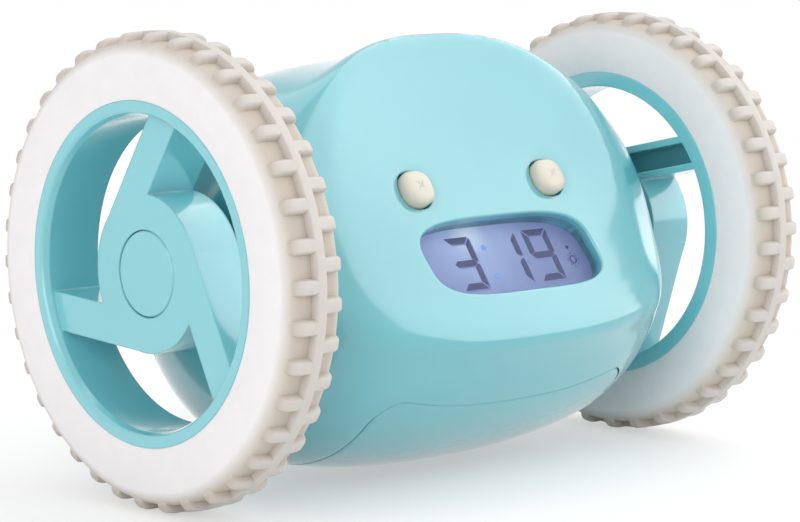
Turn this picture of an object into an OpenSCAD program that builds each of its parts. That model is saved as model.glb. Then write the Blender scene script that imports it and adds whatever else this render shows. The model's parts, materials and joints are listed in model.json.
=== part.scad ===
// Two-wheeled runaway alarm clock: a barrel body with a flared, tilted face
// hangs between two spoked wheels, each driven by its own motor and gears.
// Millimetres. X runs along the axle, -Y is the side the face looks to,
// Z is up, and the origin is on the floor below the middle of the axle.

/* [Wheels] */
// Overall width across the tyres' outer faces
overall_w = 133.2; // [133:0.1:133.4]
// Radius over the tread blocks and the middle rib
tread_r = 43.4; // [43.3:0.1:43.8]
// Width of a wheel
wheel_w = 12.4; // [12:0.1:12.8]
// Tread blocks in each row of a tyre
block_count = 40; // [36:2:44]
// Direction of the first spoke of the left wheel, degrees up from the front
spoke_dir = 57.3; // [0:0.1:119]

/* [Body] */
// Largest radius of the barrel
barrel_r = 39.3; // [39:0.1:39.6]
// Wall of the moulded shells
wall = 2.0; // [1.8:0.1:2.2]
// Lean of the face, back from upright, degrees
face_lean = 34.6; // [34:0.1:35.2]
// Half width of the face
face_half_w = 37.6; // [37:0.1:38.2]
// Columns round the body surface
body_cols = 60; // [40:4:96]

/* [Buttons and display] */
// Distance of each eye button from the middle
eye_x = 17.3; // [17:0.1:17.6]
// Radius of an eye button
eye_r = 3.5; // [3.3:0.1:3.6]
// Half width of the display window
window_half_w = 22.2; // [21:0.1:22.6]
// Half height of the display window
window_half_h = 8.6; // [8:0.1:9]

/* [Hidden] */
$fn = 48;

aqua = [0.55, 0.83, 0.83];
cream = [0.93, 0.91, 0.86];
ivory = [0.90, 0.88, 0.80];
steel = [0.75, 0.76, 0.78];
nylon = [0.93, 0.92, 0.88];
board_green = [0.15, 0.38, 0.25];

axle_z = tread_r;
rear_wall = wall - 0.4;
half_w = overall_w / 2;
inner_x = half_w - wheel_w;

// Body form, measured from the axle.
barrel_y = 2.2;
barrel_z = -2.7;
barrel_end_r = barrel_r - 7.6;
barrel_power = 2.45;
end_x = 47.8;
end_round = 17.2;
face_y = -22.0;
face_z = 9.9;
face_up = 32.3;
face_down = 27.8;
face_up_power = 2.54;
face_down_power = 2.34;
hood_flare = 0.0133;
hood_taper = 0.00387;
hood_blend = 11.4;
hood_depth = 40;
face_cap = 6;
face_bow = 0.0015;
brow_lift = 0.0044;
fan_x = 26;

function smax(a, b, k) =
    let (h = max(0, min(1, 0.5 + 0.5 * (a - b) / k)))
    a * h + b * (1 - h) + k * h * (1 - h);
function smin(a, b, k) = -smax(-a, -b, k);

// Place along the face: across, up along it, and out of it.
function face_up_of(p) = (p[1] - face_y) * sin(face_lean) + (p[2] - face_z) * cos(face_lean);
function face_out_of(p) = -(p[1] - face_y) * cos(face_lean) + (p[2] - face_z) * sin(face_lean);
function face_height(s, t) = -face_bow * s * s + (t > 0 ? brow_lift * t * t : 0);

function barrel_field(p) =
    let (x = abs(p[0]),
         u = min(1.2, x / end_x),
         r = norm([p[1] - barrel_y, p[2] - barrel_z]),
         here = barrel_r - (barrel_r - barrel_end_r) * pow(u, barrel_power),
         slope = (barrel_r - barrel_end_r) * barrel_power * pow(u, barrel_power - 1) / end_x)
    smax((r - here) / sqrt(1 + slope * slope), x - end_x, end_round);

function hood_field(p) =
    let (s = p[0],
         t = face_up_of(p),
         grow = 1 + hood_flare * max(-60, min(5, face_out_of(p))),
         a = max(5, face_half_w * grow * (1 - hood_taper * t)),
         b = (t > 0 ? face_up : face_down) * grow,
         n = t > 0 ? face_up_power : face_down_power,
         m = max(0.01, pow(pow(abs(s / a), n) + pow(abs(t / b), n), 1 / n)))
    smax((m - 1) * norm([s, t]) / m, -hood_depth - face_out_of(p), 8);

function body_field(p) =
    smax(smin(barrel_field(p), hood_field(p), hood_blend), face_out_of(p) - face_cap, 1);

// Distance from o along d to the body surface sunk by skin.
function reach(o, d, skin, lo = 4, hi = 70, n = 16) =
    n == 0 ? (lo + hi) / 2 :
    let (m = (lo + hi) / 2)
    body_field(o + d * m) + skin > 0 ? reach(o, d, skin, lo, m, n - 1) : reach(o, d, skin, m, hi, n - 1);

// Closed surface of the barrel and hood, in rows from end to end.
module body_ball(skin, cols, mids, fans) {
    step = 90 / (fans + 1);
    rows = concat(
        [for (k = [fans:-1:1]) [-fan_x, -k * step]],
        [for (k = [0:mids]) [-fan_x + 2 * fan_x * k / mids, 0]],
        [for (k = [1:fans]) [fan_x, k * step]]);
    nr = len(rows);
    function spot(o, d) = o + d * reach(o, d, skin);
    pts = concat(
        [spot([-fan_x, 0, 0], [-1, 0, 0])],
        [for (r = rows) for (c = [0:cols - 1])
            let (a = c * 360 / cols)
            spot([r[0], 0, 0], [sin(r[1]), -cos(r[1]) * cos(a), cos(r[1]) * sin(a)])],
        [spot([fan_x, 0, 0], [1, 0, 0])]);
    function at(r, c) = 1 + r * cols + c % cols;
    faces = concat(
        [for (c = [0:cols - 1]) [0, at(0, c + 1), at(0, c)]],
        [for (r = [0:nr - 2]) for (c = [0:cols - 1])
            each [[at(r, c), at(r, c + 1), at(r + 1, c + 1)], [at(r, c), at(r + 1, c + 1), at(r + 1, c)]]],
        [for (c = [0:cols - 1]) [len(pts) - 1, at(nr - 1, c), at(nr - 1, c + 1)]]);
    polyhedron(pts, faces);
}

// Everything behind the face, whose surface bows across and lifts at the brow.
module behind_face(skin) {
    ns = 12;
    nt = 10;
    function st(i, j) = [-48 + 96 * i / ns, -60 + 110 * j / nt];
    top = [for (j = [0:nt]) for (i = [0:ns])
        let (q = st(i, j)) [q[0], q[1], face_height(q[0], q[1]) - skin]];
    low = [for (j = [0:nt]) for (i = [0:ns]) let (q = st(i, j)) [q[0], q[1], -110]];
    pts = concat(top, low);
    off = len(top);
    function at(i, j) = j * (ns + 1) + i;
    faces = concat(
        [for (j = [0:nt - 1]) for (i = [0:ns - 1])
            each [[at(i, j), at(i, j + 1), at(i + 1, j + 1)], [at(i, j), at(i + 1, j + 1), at(i + 1, j)]]],
        [for (j = [0:nt - 1]) for (i = [0:ns - 1])
            each [[off + at(i, j), off + at(i + 1, j + 1), off + at(i, j + 1)],
                  [off + at(i, j), off + at(i + 1, j), off + at(i + 1, j + 1)]]],
        [for (i = [0:ns - 1]) each [[at(i, 0), at(i + 1, 0), off + at(i + 1, 0)],
                                    [at(i, 0), off + at(i + 1, 0), off + at(i, 0)]]],
        [for (i = [0:ns - 1]) each [[at(i, nt), off + at(i + 1, nt), at(i + 1, nt)],
                                    [at(i, nt), off + at(i, nt), off + at(i + 1, nt)]]],
        [for (j = [0:nt - 1]) each [[at(0, j), off + at(0, j + 1), at(0, j + 1)],
                                    [at(0, j), off + at(0, j), off + at(0, j + 1)]]],
        [for (j = [0:nt - 1]) each [[at(ns, j), at(ns, j + 1), off + at(ns, j + 1)],
                                    [at(ns, j), off + at(ns, j + 1), off + at(ns, j)]]]);
    on_face() polyhedron(pts, faces);
}

// Batteries lie along X in an arc under the axle.
cell_r = 5.25;
cell_len = 44.5;
cell_arc = 30.3;
cell_angles = [-47, -24.3, -1.6, 21.1];
tray_end = 26.6;

// Door in the belly, drawn out along its own direction.
door_turn = 170;
door_half_w = 32.7;
door_front = 26.4;
door_back = -27;
door_corner = 6;
door_gap = 0.25;

// Plane between the two shells, leaning forward at the top.
split_lean = 11.31;
split_at = 20.1;

eye_t = 4.0;
window_t = -10.6;
window_power = 2.6;
lcd_t = -11.2;
window_slant = 0.2;

// Gear train, with module half a millimetre.
gear_m = 0.5;
output_teeth = 48;
small_teeth = 12;
large_teeth = 40;
pinion_teeth = 10;
drive_dir = 25.2;
motor_dir = 176;
drive_at = (output_teeth + small_teeth) * gear_m / 2 * [cos(drive_dir), sin(drive_dir)];
motor_at = drive_at + (large_teeth + pinion_teeth) * gear_m / 2 * [cos(motor_dir), sin(motor_dir)];
plate_posts = [[-13, -8], [8, -15.5], [-4, 17]];
shaft_r = 2.0;
pin_r = 1.0;
run = 0.05;
motor_shaft_r = 0.98;

// Keys on the back, above the speaker.
key_turn = -45;
key_r = reach([0, barrel_y, barrel_z], [0, sin(45), cos(45)], 0);
key_x = 14;
speaker_r = 12.5;
speaker_back = 29.5;

block_r = tread_r - 0.1;
rim_r = 31.16;
drum_r = 14.4;
spoke_out = 14.3;
spoke_in = 7.2;

module on_axle() { translate([0, 0, axle_z]) children(); }
module on_face() { translate([0, face_y, face_z]) rotate([90 - face_lean, 0, 0]) children(); }
module on_door() { translate([0, barrel_y, barrel_z]) rotate([door_turn, 0, 0]) children(); }
module on_keys() { translate([0, barrel_y, barrel_z]) rotate([key_turn, 0, 0]) children(); }
// Flat shapes drawn in Y and Z, raised along X from x0 to x1.
module raise_x(x0, x1) { translate([x0, 0, 0]) rotate([90, 0, 90]) linear_extrude(x1 - x0) children(); }
module rod_x(x0, x1, r, at = [0, 0]) { raise_x(x0, x1) translate(at) circle(r); }
// Keeps a freely curved piece as one surface.
module skin_of() { resize([0, 0, 0]) children(); }

module slab(size, z0, z1, r = 1) {
    translate([0, 0, z0]) linear_extrude(z1 - z0) rounded(size, r);
}
module rounded(size, r) {
    square([size[0] - 2 * r, size[1]], center = true);
    square([size[0], size[1] - 2 * r], center = true);
    for (i = [-1, 1]) for (j = [-1, 1])
        translate([i * (size[0] / 2 - r), j * (size[1] / 2 - r)]) circle(r);
}
module bar(a, b, w) {
    d = b - a;
    translate(a) rotate(atan2(d[1], d[0])) translate([0, -w / 2]) square([norm(d), w]);
}
function oval(hw, hh, n, slant, count) = [for (k = [0:count - 1])
    let (a = 360 * k / count,
         x = hw * sign(cos(a)) * pow(abs(cos(a)), 2 / n),
         y = hh * sign(sin(a)) * pow(abs(sin(a)), 2 / n))
    [x - slant * y, y]];

module body_solid(skin, cols, mids, fans) {
    intersection() {
        body_ball(skin, cols, mids, fans);
        behind_face(skin);
    }
}
module body_wall(thick) {
    difference() {
        body_solid(0, body_cols, 10, 8);
        body_solid(thick, 40, 6, 5);
    }
}
module half_space(front) {
    rotate([split_lean, 0, 0])
        translate([-80, front ? split_at - 110 : split_at, -80]) cube([160, 110, 160]);
}
module door_plan(grow) {
    translate([0, (door_front + door_back) / 2])
        rounded([2 * (door_half_w + grow), door_front - door_back + 2 * grow], door_corner);
}
module window_cut(grow, w0, w1) {
    translate([0, window_t, w0]) linear_extrude(w1 - w0)
        polygon(oval(window_half_w + grow, window_half_h + grow, window_power, window_slant, 56));
}

module case_post(x, z) { translate([x, 0, z]) rotate([-90, 0, 0]) children(); }
case_posts = [[27, 22], [-27, 22], [36, -16], [-36, -16]];
// Y of the split between the shells at height z.
function split_y(z) = (split_at - z * sin(split_lean)) / cos(split_lean);

// Front of the case, with the face, the window, the eye holes and the door opening.
module front_shell() {
    color(aqua) on_axle() skin_of() {
        difference() {
            intersection() {
                union() {
                    body_wall(wall);
                    intersection() {
                        body_solid(0.8, 40, 6, 5);
                        union() {
                            for (m = [-1, 1]) rod_x(m * 45.2 - 2.4, m * 45.2 + 2.4, 8, [0, 0], $fn = 32);
                            for (p = case_posts) case_post(p[0], p[1])
                                translate([0, 0, split_y(p[1]) - 12]) {
                                    cylinder(r = 3.2, h = 30, $fn = 20);
                                    if (p[1] > 0) translate([-0.8, -20, 0]) cube([1.6, 20, 30]);
                                    else translate([p[0] > 0 ? 0 : -14, -0.8, 0]) cube([14, 1.6, 30]);
                                }
                            on_face() for (m = [-1, 1]) translate([m * eye_x, eye_t, -3.4])
                                cylinder(r = eye_r + 2, h = 4.4, $fn = 24);
                        }
                    }
                }
                half_space(true);
            }
            for (m = [-1, 1]) rod_x(m * 46 - 6, m * 46 + 6, 5.06, [0, 0], $fn = 32);
            on_face() window_cut(0, -8, 4);
            on_face() window_cut(1.7, -8, -2.6);
            on_face() for (m = [-1, 1]) translate([m * eye_x, eye_t, 0]) {
                translate([0, 0, -8]) linear_extrude(12) polygon(oval(eye_r + 0.3, eye_r + 0.3, 2.5, 0, 32));
                translate([0, 0, -8]) cylinder(r = eye_r + 1.3, h = 5.6, $fn = 24);
                translate([0, 0, 19.0]) sphere(r = 20, $fn = 72);
            }
            on_door() translate([0, 0, 10]) linear_extrude(40) door_plan(0);
            for (p = case_posts) case_post(p[0], p[1])
                translate([0, 0, split_y(p[1]) - 10.5]) cylinder(r = 1.3, h = 30, $fn = 16);
        }
    }
}

// Back of the case, with the speaker slots and the setting keys' holes.
module rear_shell() {
    color(aqua) on_axle() skin_of() {
        difference() {
            union() {
                intersection() {
                    body_wall(rear_wall);
                    half_space(false);
                }
                intersection() {
                    body_solid(0.8, 40, 6, 5);
                    half_space(false);
                    union() {
                        for (p = case_posts) case_post(p[0], p[1])
                            cylinder(r = 3.2, h = 60, $fn = 20);
                        translate([0, speaker_back + 1.5, barrel_z]) rotate([-90, 0, 0])
                            difference() {
                                cylinder(r = speaker_r + 1.7, h = 20, $fn = 40);
                                translate([0, 0, -1]) cylinder(r = speaker_r + 0.3, h = 22, $fn = 40);
                            }
                    }
                }
            }
            for (k = [-3:3]) translate([0, 50, barrel_z + 3 * k]) rotate([90, 0, 0])
                slab([2 * sqrt(115 - pow(3 * k, 2)), 1.5], 0, 20, 0.7, $fn = 12);
            on_keys() for (m = [-1, 1]) translate([m * key_x, 0, key_r - 6])
                cylinder(r = 3.1, h = 10, $fn = 28);
            on_keys() slab([11, 3.6], key_r - 6, key_r + 4, 1, $fn = 16);
            for (p = case_posts) case_post(p[0], p[1]) {
                cylinder(r = 1.6, h = 90, $fn = 16);
                translate([0, 0, screw_seat(p)]) cylinder(r = 2.9, h = 30, $fn = 24);
            }
        }
    }
}
// Y of a case screw's seat, sunk below the back's surface.
function screw_seat(p) = reach([p[0], 0, p[1]], [0, 1, 0], 0, 10, 60) - 2.6;

// Belly door, drawn straight out of its opening.
module battery_door() {
    color(aqua) on_axle() skin_of() difference() {
        intersection() {
            body_wall(wall);
            on_door() translate([0, 0, 10]) linear_extrude(40) door_plan(-door_gap);
        }
        on_door() translate([29.6, 0, 10]) cylinder(r = 1.1, h = 40, $fn = 16);
        on_door() translate([29.6, 0, door_screw_seat]) cylinder(r = 2.3, h = 20, $fn = 24);
    }
}
door_screw_seat = reach([29.6, barrel_y, barrel_z], [0, -sin(10), -cos(10)], 0) - 1.3;

module cross_screw(head_r, head_h, shank_r, shank_l) {
    difference() {
        union() {
            cylinder(r = head_r, h = head_h);
            translate([0, 0, -shank_l]) cylinder(r = shank_r, h = shank_l);
        }
        for (a = [0, 90]) rotate(a) translate([-head_r * 0.6, -head_r * 0.14, head_h * 0.4])
            cube([head_r * 1.2, head_r * 0.28, head_h]);
    }
}
module door_screw() {
    color(steel) on_axle() on_door() translate([29.6, 0, door_screw_seat]) cross_screw(1.9, 0.9, 0.9, 4.5);
}
module case_screws() {
    color(steel) on_axle() for (p = case_posts) case_post(p[0], p[1])
        translate([0, 0, screw_seat(p)]) cross_screw(2.5, 1.6, 1.2, 12);
}

function cell_at(k) = [barrel_y + cell_arc * sin(cell_angles[k]), barrel_z - cell_arc * cos(cell_angles[k])];

// Sector of a ring about the barrel's axis, angles from straight down, towards the back.
module ring_part(r0, r1, a0, a1) {
    intersection() {
        difference() {
            translate([barrel_y, barrel_z]) circle(r1);
            translate([barrel_y, barrel_z]) circle(r0);
        }
        polygon(concat([[barrel_y, barrel_z]],
            [for (k = [0:6]) let (a = a0 + (a1 - a0) * k / 6)
                [barrel_y + 60 * sin(a), barrel_z - 60 * cos(a)]]));
    }
}

// Tray with a channel for each cell, end walls and feet against the shell.
module battery_tray() {
    color(nylon) on_axle() {
        raise_x(-tray_end, tray_end) difference() {
            ring_part(23.6, 32.5, -57, 37);
            for (k = [0:3]) translate(cell_at(k)) circle(cell_r + 0.25);
            for (k = [0:3]) translate([barrel_y, barrel_z]) rotate(cell_angles[k])
                translate([0, -34]) square([8.4, 8], center = true);
        }
        for (m = [-1, 1]) raise_x(m > 0 ? tray_end : -tray_end - 1.6, m > 0 ? tray_end + 1.6 : -tray_end)
            ring_part(20, 34.4, -57, 37);
        for (m = [-1, 1]) raise_x(m * 34.2 - 0.8, m * 34.2 + 0.8) ring_part(20, 32.3, -60, 28);
        for (m = [-1, 1]) for (a = [-46, 0, 24])
            raise_x(m > 0 ? tray_end + 1.6 : -33.4, m > 0 ? 33.4 : -tray_end - 1.6)
                translate([barrel_y, barrel_z]) rotate(a) translate([0, -22]) square([3, 3], center = true);
        on_door() difference() {
            translate([29.9, 0, 20]) cylinder(r = 2.6, h = door_screw_seat - 2.5 - 20);
            translate([29.6, 0, 19]) cylinder(r = 1.2, h = 40);
        }
    }
}

module cell(k) {
    turned = k % 2 == 0 ? 1 : -1;
    color([0.25, 0.3, 0.35]) on_axle() translate([0, cell_at(k)[0], cell_at(k)[1]])
        rotate([0, 90 * turned, 0]) rotate_extrude() polygon([
            [0, -cell_len / 2], [4.2, -cell_len / 2], [4.4, -cell_len / 2 + 0.4], [cell_r, -cell_len / 2 + 0.6],
            [cell_r, cell_len / 2 - 1.6], [4.7, cell_len / 2 - 1.0], [1.9, cell_len / 2 - 1.0],
            [1.9, cell_len / 2], [0, cell_len / 2]]);
}
module battery_1() { cell(0); }
module battery_2() { cell(1); }
module battery_3() { cell(2); }
module battery_4() { cell(3); }

// Spring plates at one end of the tray, a coned coil or a dimple at each cell.
module contacts(side) {
    color(steel) on_axle() for (k = [0:3]) {
        spring_end = (k % 2 == 0 ? -1 : 1) == side;
        translate([side * (tray_end - 0.5), cell_at(k)[0], cell_at(k)[1]]) rotate([0, -90 * side, 0]) {
            rotate(-side * cell_angles[k]) slab([7.6, 7.6], 0, 0.4, 1);
            if (spring_end) rotate_extrude() polygon([[0, 0.4], [3.6, 0.4], [3.6, 1.0], [3.1, 1.3], [3.2, 1.9],
                [2.6, 2.2], [2.7, 2.8], [2.1, 3.1], [2.1, 3.4], [0, 3.4]]);
            else rotate_extrude() polygon([[0, 0.4], [2.4, 0.4], [1.8, 1.4], [1.6, 3.4], [0, 3.4]]);
        }
    }
}
module battery_contacts_left() { contacts(-1); }
module battery_contacts_right() { contacts(1); }

// Clear window, a plug in the opening with a flange behind the wall.
module display_window() {
    color([0.75, 0.8, 0.9, 0.4]) on_axle() on_face() {
        intersection() {
            window_cut(-0.2, -2.9, 0);
            translate([0, window_t, -1.6]) rotate([-4.6, 0, 0]) translate([-30, -20, -8]) cube([60, 40, 8]);
        }
        window_cut(1.4, -3.7, -2.9);
    }
}
module lcd_panel() {
    color([0.5, 0.56, 0.75]) on_axle() on_face() translate([0, lcd_t, 0]) slab([46, 19.2], -6.2, -4.0, 0.5);
}
// Holder between the board and the window, with its light behind the panel.
module lcd_frame() {
    color(nylon) on_axle() on_face() translate([0, lcd_t, 0]) {
        difference() {
            slab([48, 21], -10.4, -3.9, 3);
            slab([46.1, 19.3], -6.2, -3, 0.5);
            slab([43, 17], -8, -3, 0.5);
        }
        slab([43, 17], -8, -6.6, 0.5);
    }
}
module main_board() {
    color(board_green) on_axle() on_face() {
        difference() {
            translate([0, -6.5, 0]) slab([54, 33], -12, -10.4, 1);
            for (m = [-1, 1]) translate([m * 24, 0, -13]) cylinder(r = 1.1, h = 4);
        }
        for (m = [-1, 1]) translate([m * 9, 6.5, 0]) slab([4, 3], -10.4, -9, 0.3);
        translate([0, 6.5, 0]) slab([8, 3], -10.4, -8.6, 0.3);
    }
}
module controller_chip() {
    color([0.08, 0.08, 0.09]) on_axle() on_face() translate([0, -9, -12]) rotate([180, 0, 0])
        rotate_extrude() polygon([[0, 0], [6, 0], [5.8, 0.4], [4.8, 0.9], [3.2, 1.3], [1.6, 1.5], [0, 1.5]]);
}

// Cap of an eye button: a squarish round with a domed top, a flange and a stem.
module eye_button(m) {
    color(ivory) on_axle() on_face() translate([m * eye_x, eye_t, 0]) {
        intersection() {
            translate([0, 0, -2.8]) linear_extrude(5) polygon(oval(eye_r, eye_r, 2.5, 0, 48));
            translate([0, 0, -10.4]) sphere(r = 12.2, $fn = 96);
        }
        translate([0, 0, -3.8]) cylinder(r = eye_r + 0.8, h = 1);
        translate([0, 0, -5.9]) cylinder(r = 1.8, h = 3);
    }
}
module left_eye_button() { eye_button(-1); }
module right_eye_button() { eye_button(1); }
module eye_switch(m) {
    color([0.12, 0.12, 0.13]) on_axle() on_face() translate([m * eye_x, eye_t, 0]) {
        slab([6, 6], -10.4, -7.9, 0.3);
        translate([0, 0, -7.9]) cylinder(r = 1.6, h = 0.7);
    }
}
module left_eye_switch() { eye_switch(-1); }
module right_eye_switch() { eye_switch(1); }

module speaker_turn() {
    on_axle() translate([0, speaker_back, barrel_z]) rotate([-90, 0, 0]) rotate_extrude() children();
}
module speaker_basket() {
    color(steel) speaker_turn() polygon([[0, 0.6], [5.6, 0.6], [5.6, 3.4], [11.2, 4.6], [speaker_r, 4.6],
        [speaker_r, 6.2], [11.5, 6.2], [11.5, 5.3], [5.4, 4.2], [4.9, 4.2], [4.9, 1.6], [4.1, 1.6], [4.1, 3.6], [0, 3.6]]);
}
module speaker_cone() {
    color([0.1, 0.1, 0.1]) speaker_turn() polygon([[0, 4.9], [2.4, 4.6], [4.3, 3.9], [4.3, 2], [4.7, 2], [4.7, 4.3],
        [9.2, 5.5], [9.9, 6.2], [10.8, 6.2], [11.3, 5.5], [11.4, 6.1], [11, 6.7], [9.8, 6.7],
        [9, 6], [4.2, 4.7], [2.6, 5.1], [0, 5.4]]);
}

// Small board under the setting keys, with their switches.
module rear_board() {
    color(board_green) on_axle() on_keys() {
        slab([36, 9], key_r - 9.8, key_r - 8.4, 1);
        for (m = [-1, 1]) translate([m * key_x, 0, 0]) {
            slab([5, 5], key_r - 8.4, key_r - 6.9, 0.3);
            translate([0, 0, key_r - 6.9]) cylinder(r = 1.4, h = 0.6);
        }
        slab([9, 4], key_r - 8.4, key_r - 5.8, 0.3);
    }
}
module set_button(m) {
    color(ivory) on_axle() on_keys() translate([m * key_x, 0, 0]) {
        intersection() {
            translate([0, 0, key_r - 3.8]) cylinder(r = 2.8, h = 6);
            translate([0, 0, key_r - 7.2]) sphere(r = 8, $fn = 64);
        }
        translate([0, 0, key_r - 4.5]) cylinder(r = 3.7, h = 1);
        translate([0, 0, key_r - 5]) cylinder(r = 1.5, h = 1);
    }
}
module hour_button() { set_button(-1); }
module minute_button() { set_button(1); }
module alarm_slider() {
    color(ivory) on_axle() on_keys() translate([-2, 0, 0]) {
        slab([4.6, 2.9], key_r - 4, key_r + 0.9, 0.5);
        for (k = [-1:1]) translate([1.3 * k, 0, 0]) slab([0.7, 2.6], key_r + 0.8, key_r + 1.3, 0.2);
        slab([15, 5.6], key_r - 4, key_r - 3, 0.6);
        slab([2, 1.6], key_r - 5.4, key_r - 4, 0.2);
    }
}

// Flank points of an involute tooth, from its root to its tip.
function tooth(n, m, slack) =
    let (rp = n * m / 2,
         rb = rp * cos(20),
         tip = rp + m * 0.95,
         root = rp - m * 1.2,
         inv = function (r) r <= rb ? 0 : let (a = acos(rb / r)) tan(a) * 180 / PI - a,
         half = 90 / n - slack / rp * 90 / PI)
    concat([[root, half + inv(rp) + 0.2 * 180 / n / PI]],
        [for (k = [0:3]) let (r = max(rb, root + 0.02) + (tip - max(rb, root + 0.02)) * k / 3)
            [r, half + inv(rp) - inv(r)]]);
module gear_plan(n, turn, slack = 0.14) {
    f = tooth(n, gear_m, slack);
    polygon([for (k = [0:n - 1]) let (a = turn + k * 360 / n) each concat(
        [for (q = f) q[0] * [cos(a - q[1]), sin(a - q[1])]],
        [for (i = [len(f) - 1:-1:0]) f[i][0] * [cos(a + f[i][1]), sin(a + f[i][1])]])]);
}

// The left side's running gear. X grows inwards from the left.
module motor() {
    color(steel) on_axle() difference() {
        union() {
            raise_x(-29.4, -7.4) translate(motor_at) rotate(90 - face_lean) intersection() {
                circle(10);
                square([20.2, 15.4], center = true);
            }
            rod_x(-30.8, -29.4, 3, motor_at);
            rod_x(-7.4, -6.4, 6, motor_at);
            raise_x(-7.4, -5.9) translate(motor_at) rotate(90 - face_lean) for (m = [-1, 1])
                translate([7.5 * m, 0]) square([0.6, 2.4], center = true);
        }
        rod_x(-31, -27, motor_shaft_r + run, motor_at);
    }
}
module motor_shaft() { color(steel) on_axle() rod_x(-35.4, -27.4, motor_shaft_r, motor_at); }
module motor_pinion() {
    color([0.95, 0.94, 0.9]) on_axle() raise_x(-35.2, -31.6) translate(motor_at) difference() {
        gear_plan(pinion_teeth, motor_dir + 180 + 180 / pinion_teeth);
        circle(motor_shaft_r);
    }
}
module drive_gear() {
    color([0.95, 0.94, 0.9]) on_axle() {
        raise_x(-34.8, -32) translate(drive_at) difference() {
            gear_plan(large_teeth, motor_dir);
            circle(pin_r + run);
        }
        raise_x(-40.8, -34.8) translate(drive_at) difference() {
            gear_plan(small_teeth, drive_dir + 180 + 180 / small_teeth);
            circle(pin_r + run);
        }
    }
}
module gear_pin() { color(steel) on_axle() rod_x(-43, -29.6, pin_r, drive_at); }
module output_gear() {
    color([0.95, 0.94, 0.9]) on_axle() {
        raise_x(-40.2, -36.6) difference() {
            gear_plan(output_teeth, drive_dir);
            circle(shaft_r);
            for (k = [0:4]) rotate(k * 72) translate([7, 0]) circle(1.9);
        }
        raise_x(-36.6, -31.2) difference() {
            circle(4);
            circle(shaft_r);
        }
    }
}
module wheel_shaft() {
    color(steel) on_axle() difference() {
        rod_x(-61.4, -29.7, shaft_r);
        rod_x(-62, -53, 1.2);
    }
}
module plate_plan(with_motor) {
    difference() {
        union() {
            circle(8);
            bar([0, 0], drive_at, 8);
            translate(drive_at) circle(5);
            for (p = plate_posts) {
                bar([0, 0], p, 5);
                translate(p) circle(3.5);
            }
            if (with_motor) {
                translate(motor_at) circle(10.6);
                bar(drive_at, motor_at, 7);
            }
        }
        circle(shaft_r + run);
        translate(drive_at) circle(pin_r);
        if (with_motor) translate(motor_at) circle(3);
    }
}
module inner_plate() { color(nylon) on_axle() raise_x(-30.8, -29.4) plate_plan(true); }
module outer_plate() {
    color(nylon) on_axle() {
        raise_x(-42.8, -41.4) plate_plan(false);
        for (p = plate_posts) rod_x(-41.4, -30.8, 2, p);
    }
}
module bush() {
    color(nylon) on_axle() difference() {
        union() {
            rod_x(-48.5, -42.8, 5);
            rod_x(-48.5, -47.8, 7);
        }
        rod_x(-49, -42, shaft_r + run);
    }
}

// Outline of the hub's drum and three tangent spokes, seen from outside.
module pinwheel(dir, inset, reach_r) {
    mirror([1, 0]) intersection() {
        union() {
            circle(drum_r - inset);
            for (k = [0:2]) rotate(dir + 120 * k) translate([0, spoke_in + inset])
                square([32, spoke_out - spoke_in - 2 * inset]);
        }
        circle(reach_r);
    }
}
module wheel_x() { translate([-half_w, 0, 0]) children(); }
module hub(dir) {
    color(aqua) on_axle() wheel_x() difference() {
        union() {
            rotate([0, 90, 0]) rotate_extrude($fn = 96) polygon([[rim_r, 0], [rim_r, wheel_w], [28.2, wheel_w],
                [28.4, 1.4], [28.9, 0.3], [29.3, 0]]);
            raise_x(2, 3.6) pinwheel(dir, 0, 28.8);
            raise_x(3.6, wheel_w) difference() {
                pinwheel(dir, 0, 28.8);
                pinwheel(dir, 1.4, 28.2);
            }
            rod_x(3.6, 17.3, 5.2);
            for (k = [0:2]) raise_x(3.6, 9) rotate(60 + k * 120 - dir) translate([9.2, 0])
                square([9.4, 1.2], center = true);
        }
        rod_x(1, 3.0, 7.95);
        rod_x(1, 5.2, 2.5);
        rod_x(5, 20, shaft_r);
    }
}
module hub_cap() {
    color(aqua) on_axle() wheel_x() rotate([0, 90, 0]) rotate_extrude($fn = 96)
        polygon([[0, 2], [7.55, 2], [7.8, 2.25], [7.8, 3.0], [0, 3.0]]);
}
module wheel_screw() {
    color(steel) on_axle() wheel_x() translate([5.2, 0, 0]) rotate([0, -90, 0])
        cross_screw(2.3, 1.6, 1.2, 8);
}

// Tyre: flat faces, rounded shoulders, a middle rib and two staggered rows of blocks.
module tread_row(x0, x1, turn) {
    step = 360 / block_count;
    raise_x(x0, x1) polygon([for (k = [0:block_count - 1]) let (a = turn + k * step) each
        [for (q = [[40, -0.28], [block_r, -0.175], [block_r, 0.175], [40, 0.28]])
            q[0] * [cos(a + q[1] * step), sin(a + q[1] * step)]]]);
}
module tyre() {
    color(cream) on_axle() wheel_x() {
        rotate([0, 90, 0]) rotate_extrude($fn = 144) polygon([[rim_r, 0], [40, 0], [40.6, 0.15], [41.2, 0.6],
            [41.6, 1.2], [41.8, 1.9], [41.9, 5.1], [tread_r, 5.3], [tread_r, 6.7], [41.9, 6.9],
            [41.8, wheel_w - 1.9], [41.6, wheel_w - 1.2], [41.2, wheel_w - 0.6], [40.6, wheel_w - 0.15],
            [40, wheel_w], [rim_r, wheel_w]]);
        intersection() {
            union() {
                tread_row(0.5, 5.5, 180 - 2.6);
                tread_row(6.5, wheel_w - 0.5, 180 - 2.6 + 180 / block_count);
            }
            rotate([0, 90, 0]) rotate_extrude($fn = 144) polygon([[36, 0.9], [41.6, 0.9], [42.6, 1.1], [43.2, 1.7],
                [43.8, 2.9], [43.8, wheel_w - 2.9], [43.2, wheel_w - 1.7],
                [42.6, wheel_w - 1.1], [41.6, wheel_w - 0.9], [36, wheel_w - 0.9]]);
        }
    }
}

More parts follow.
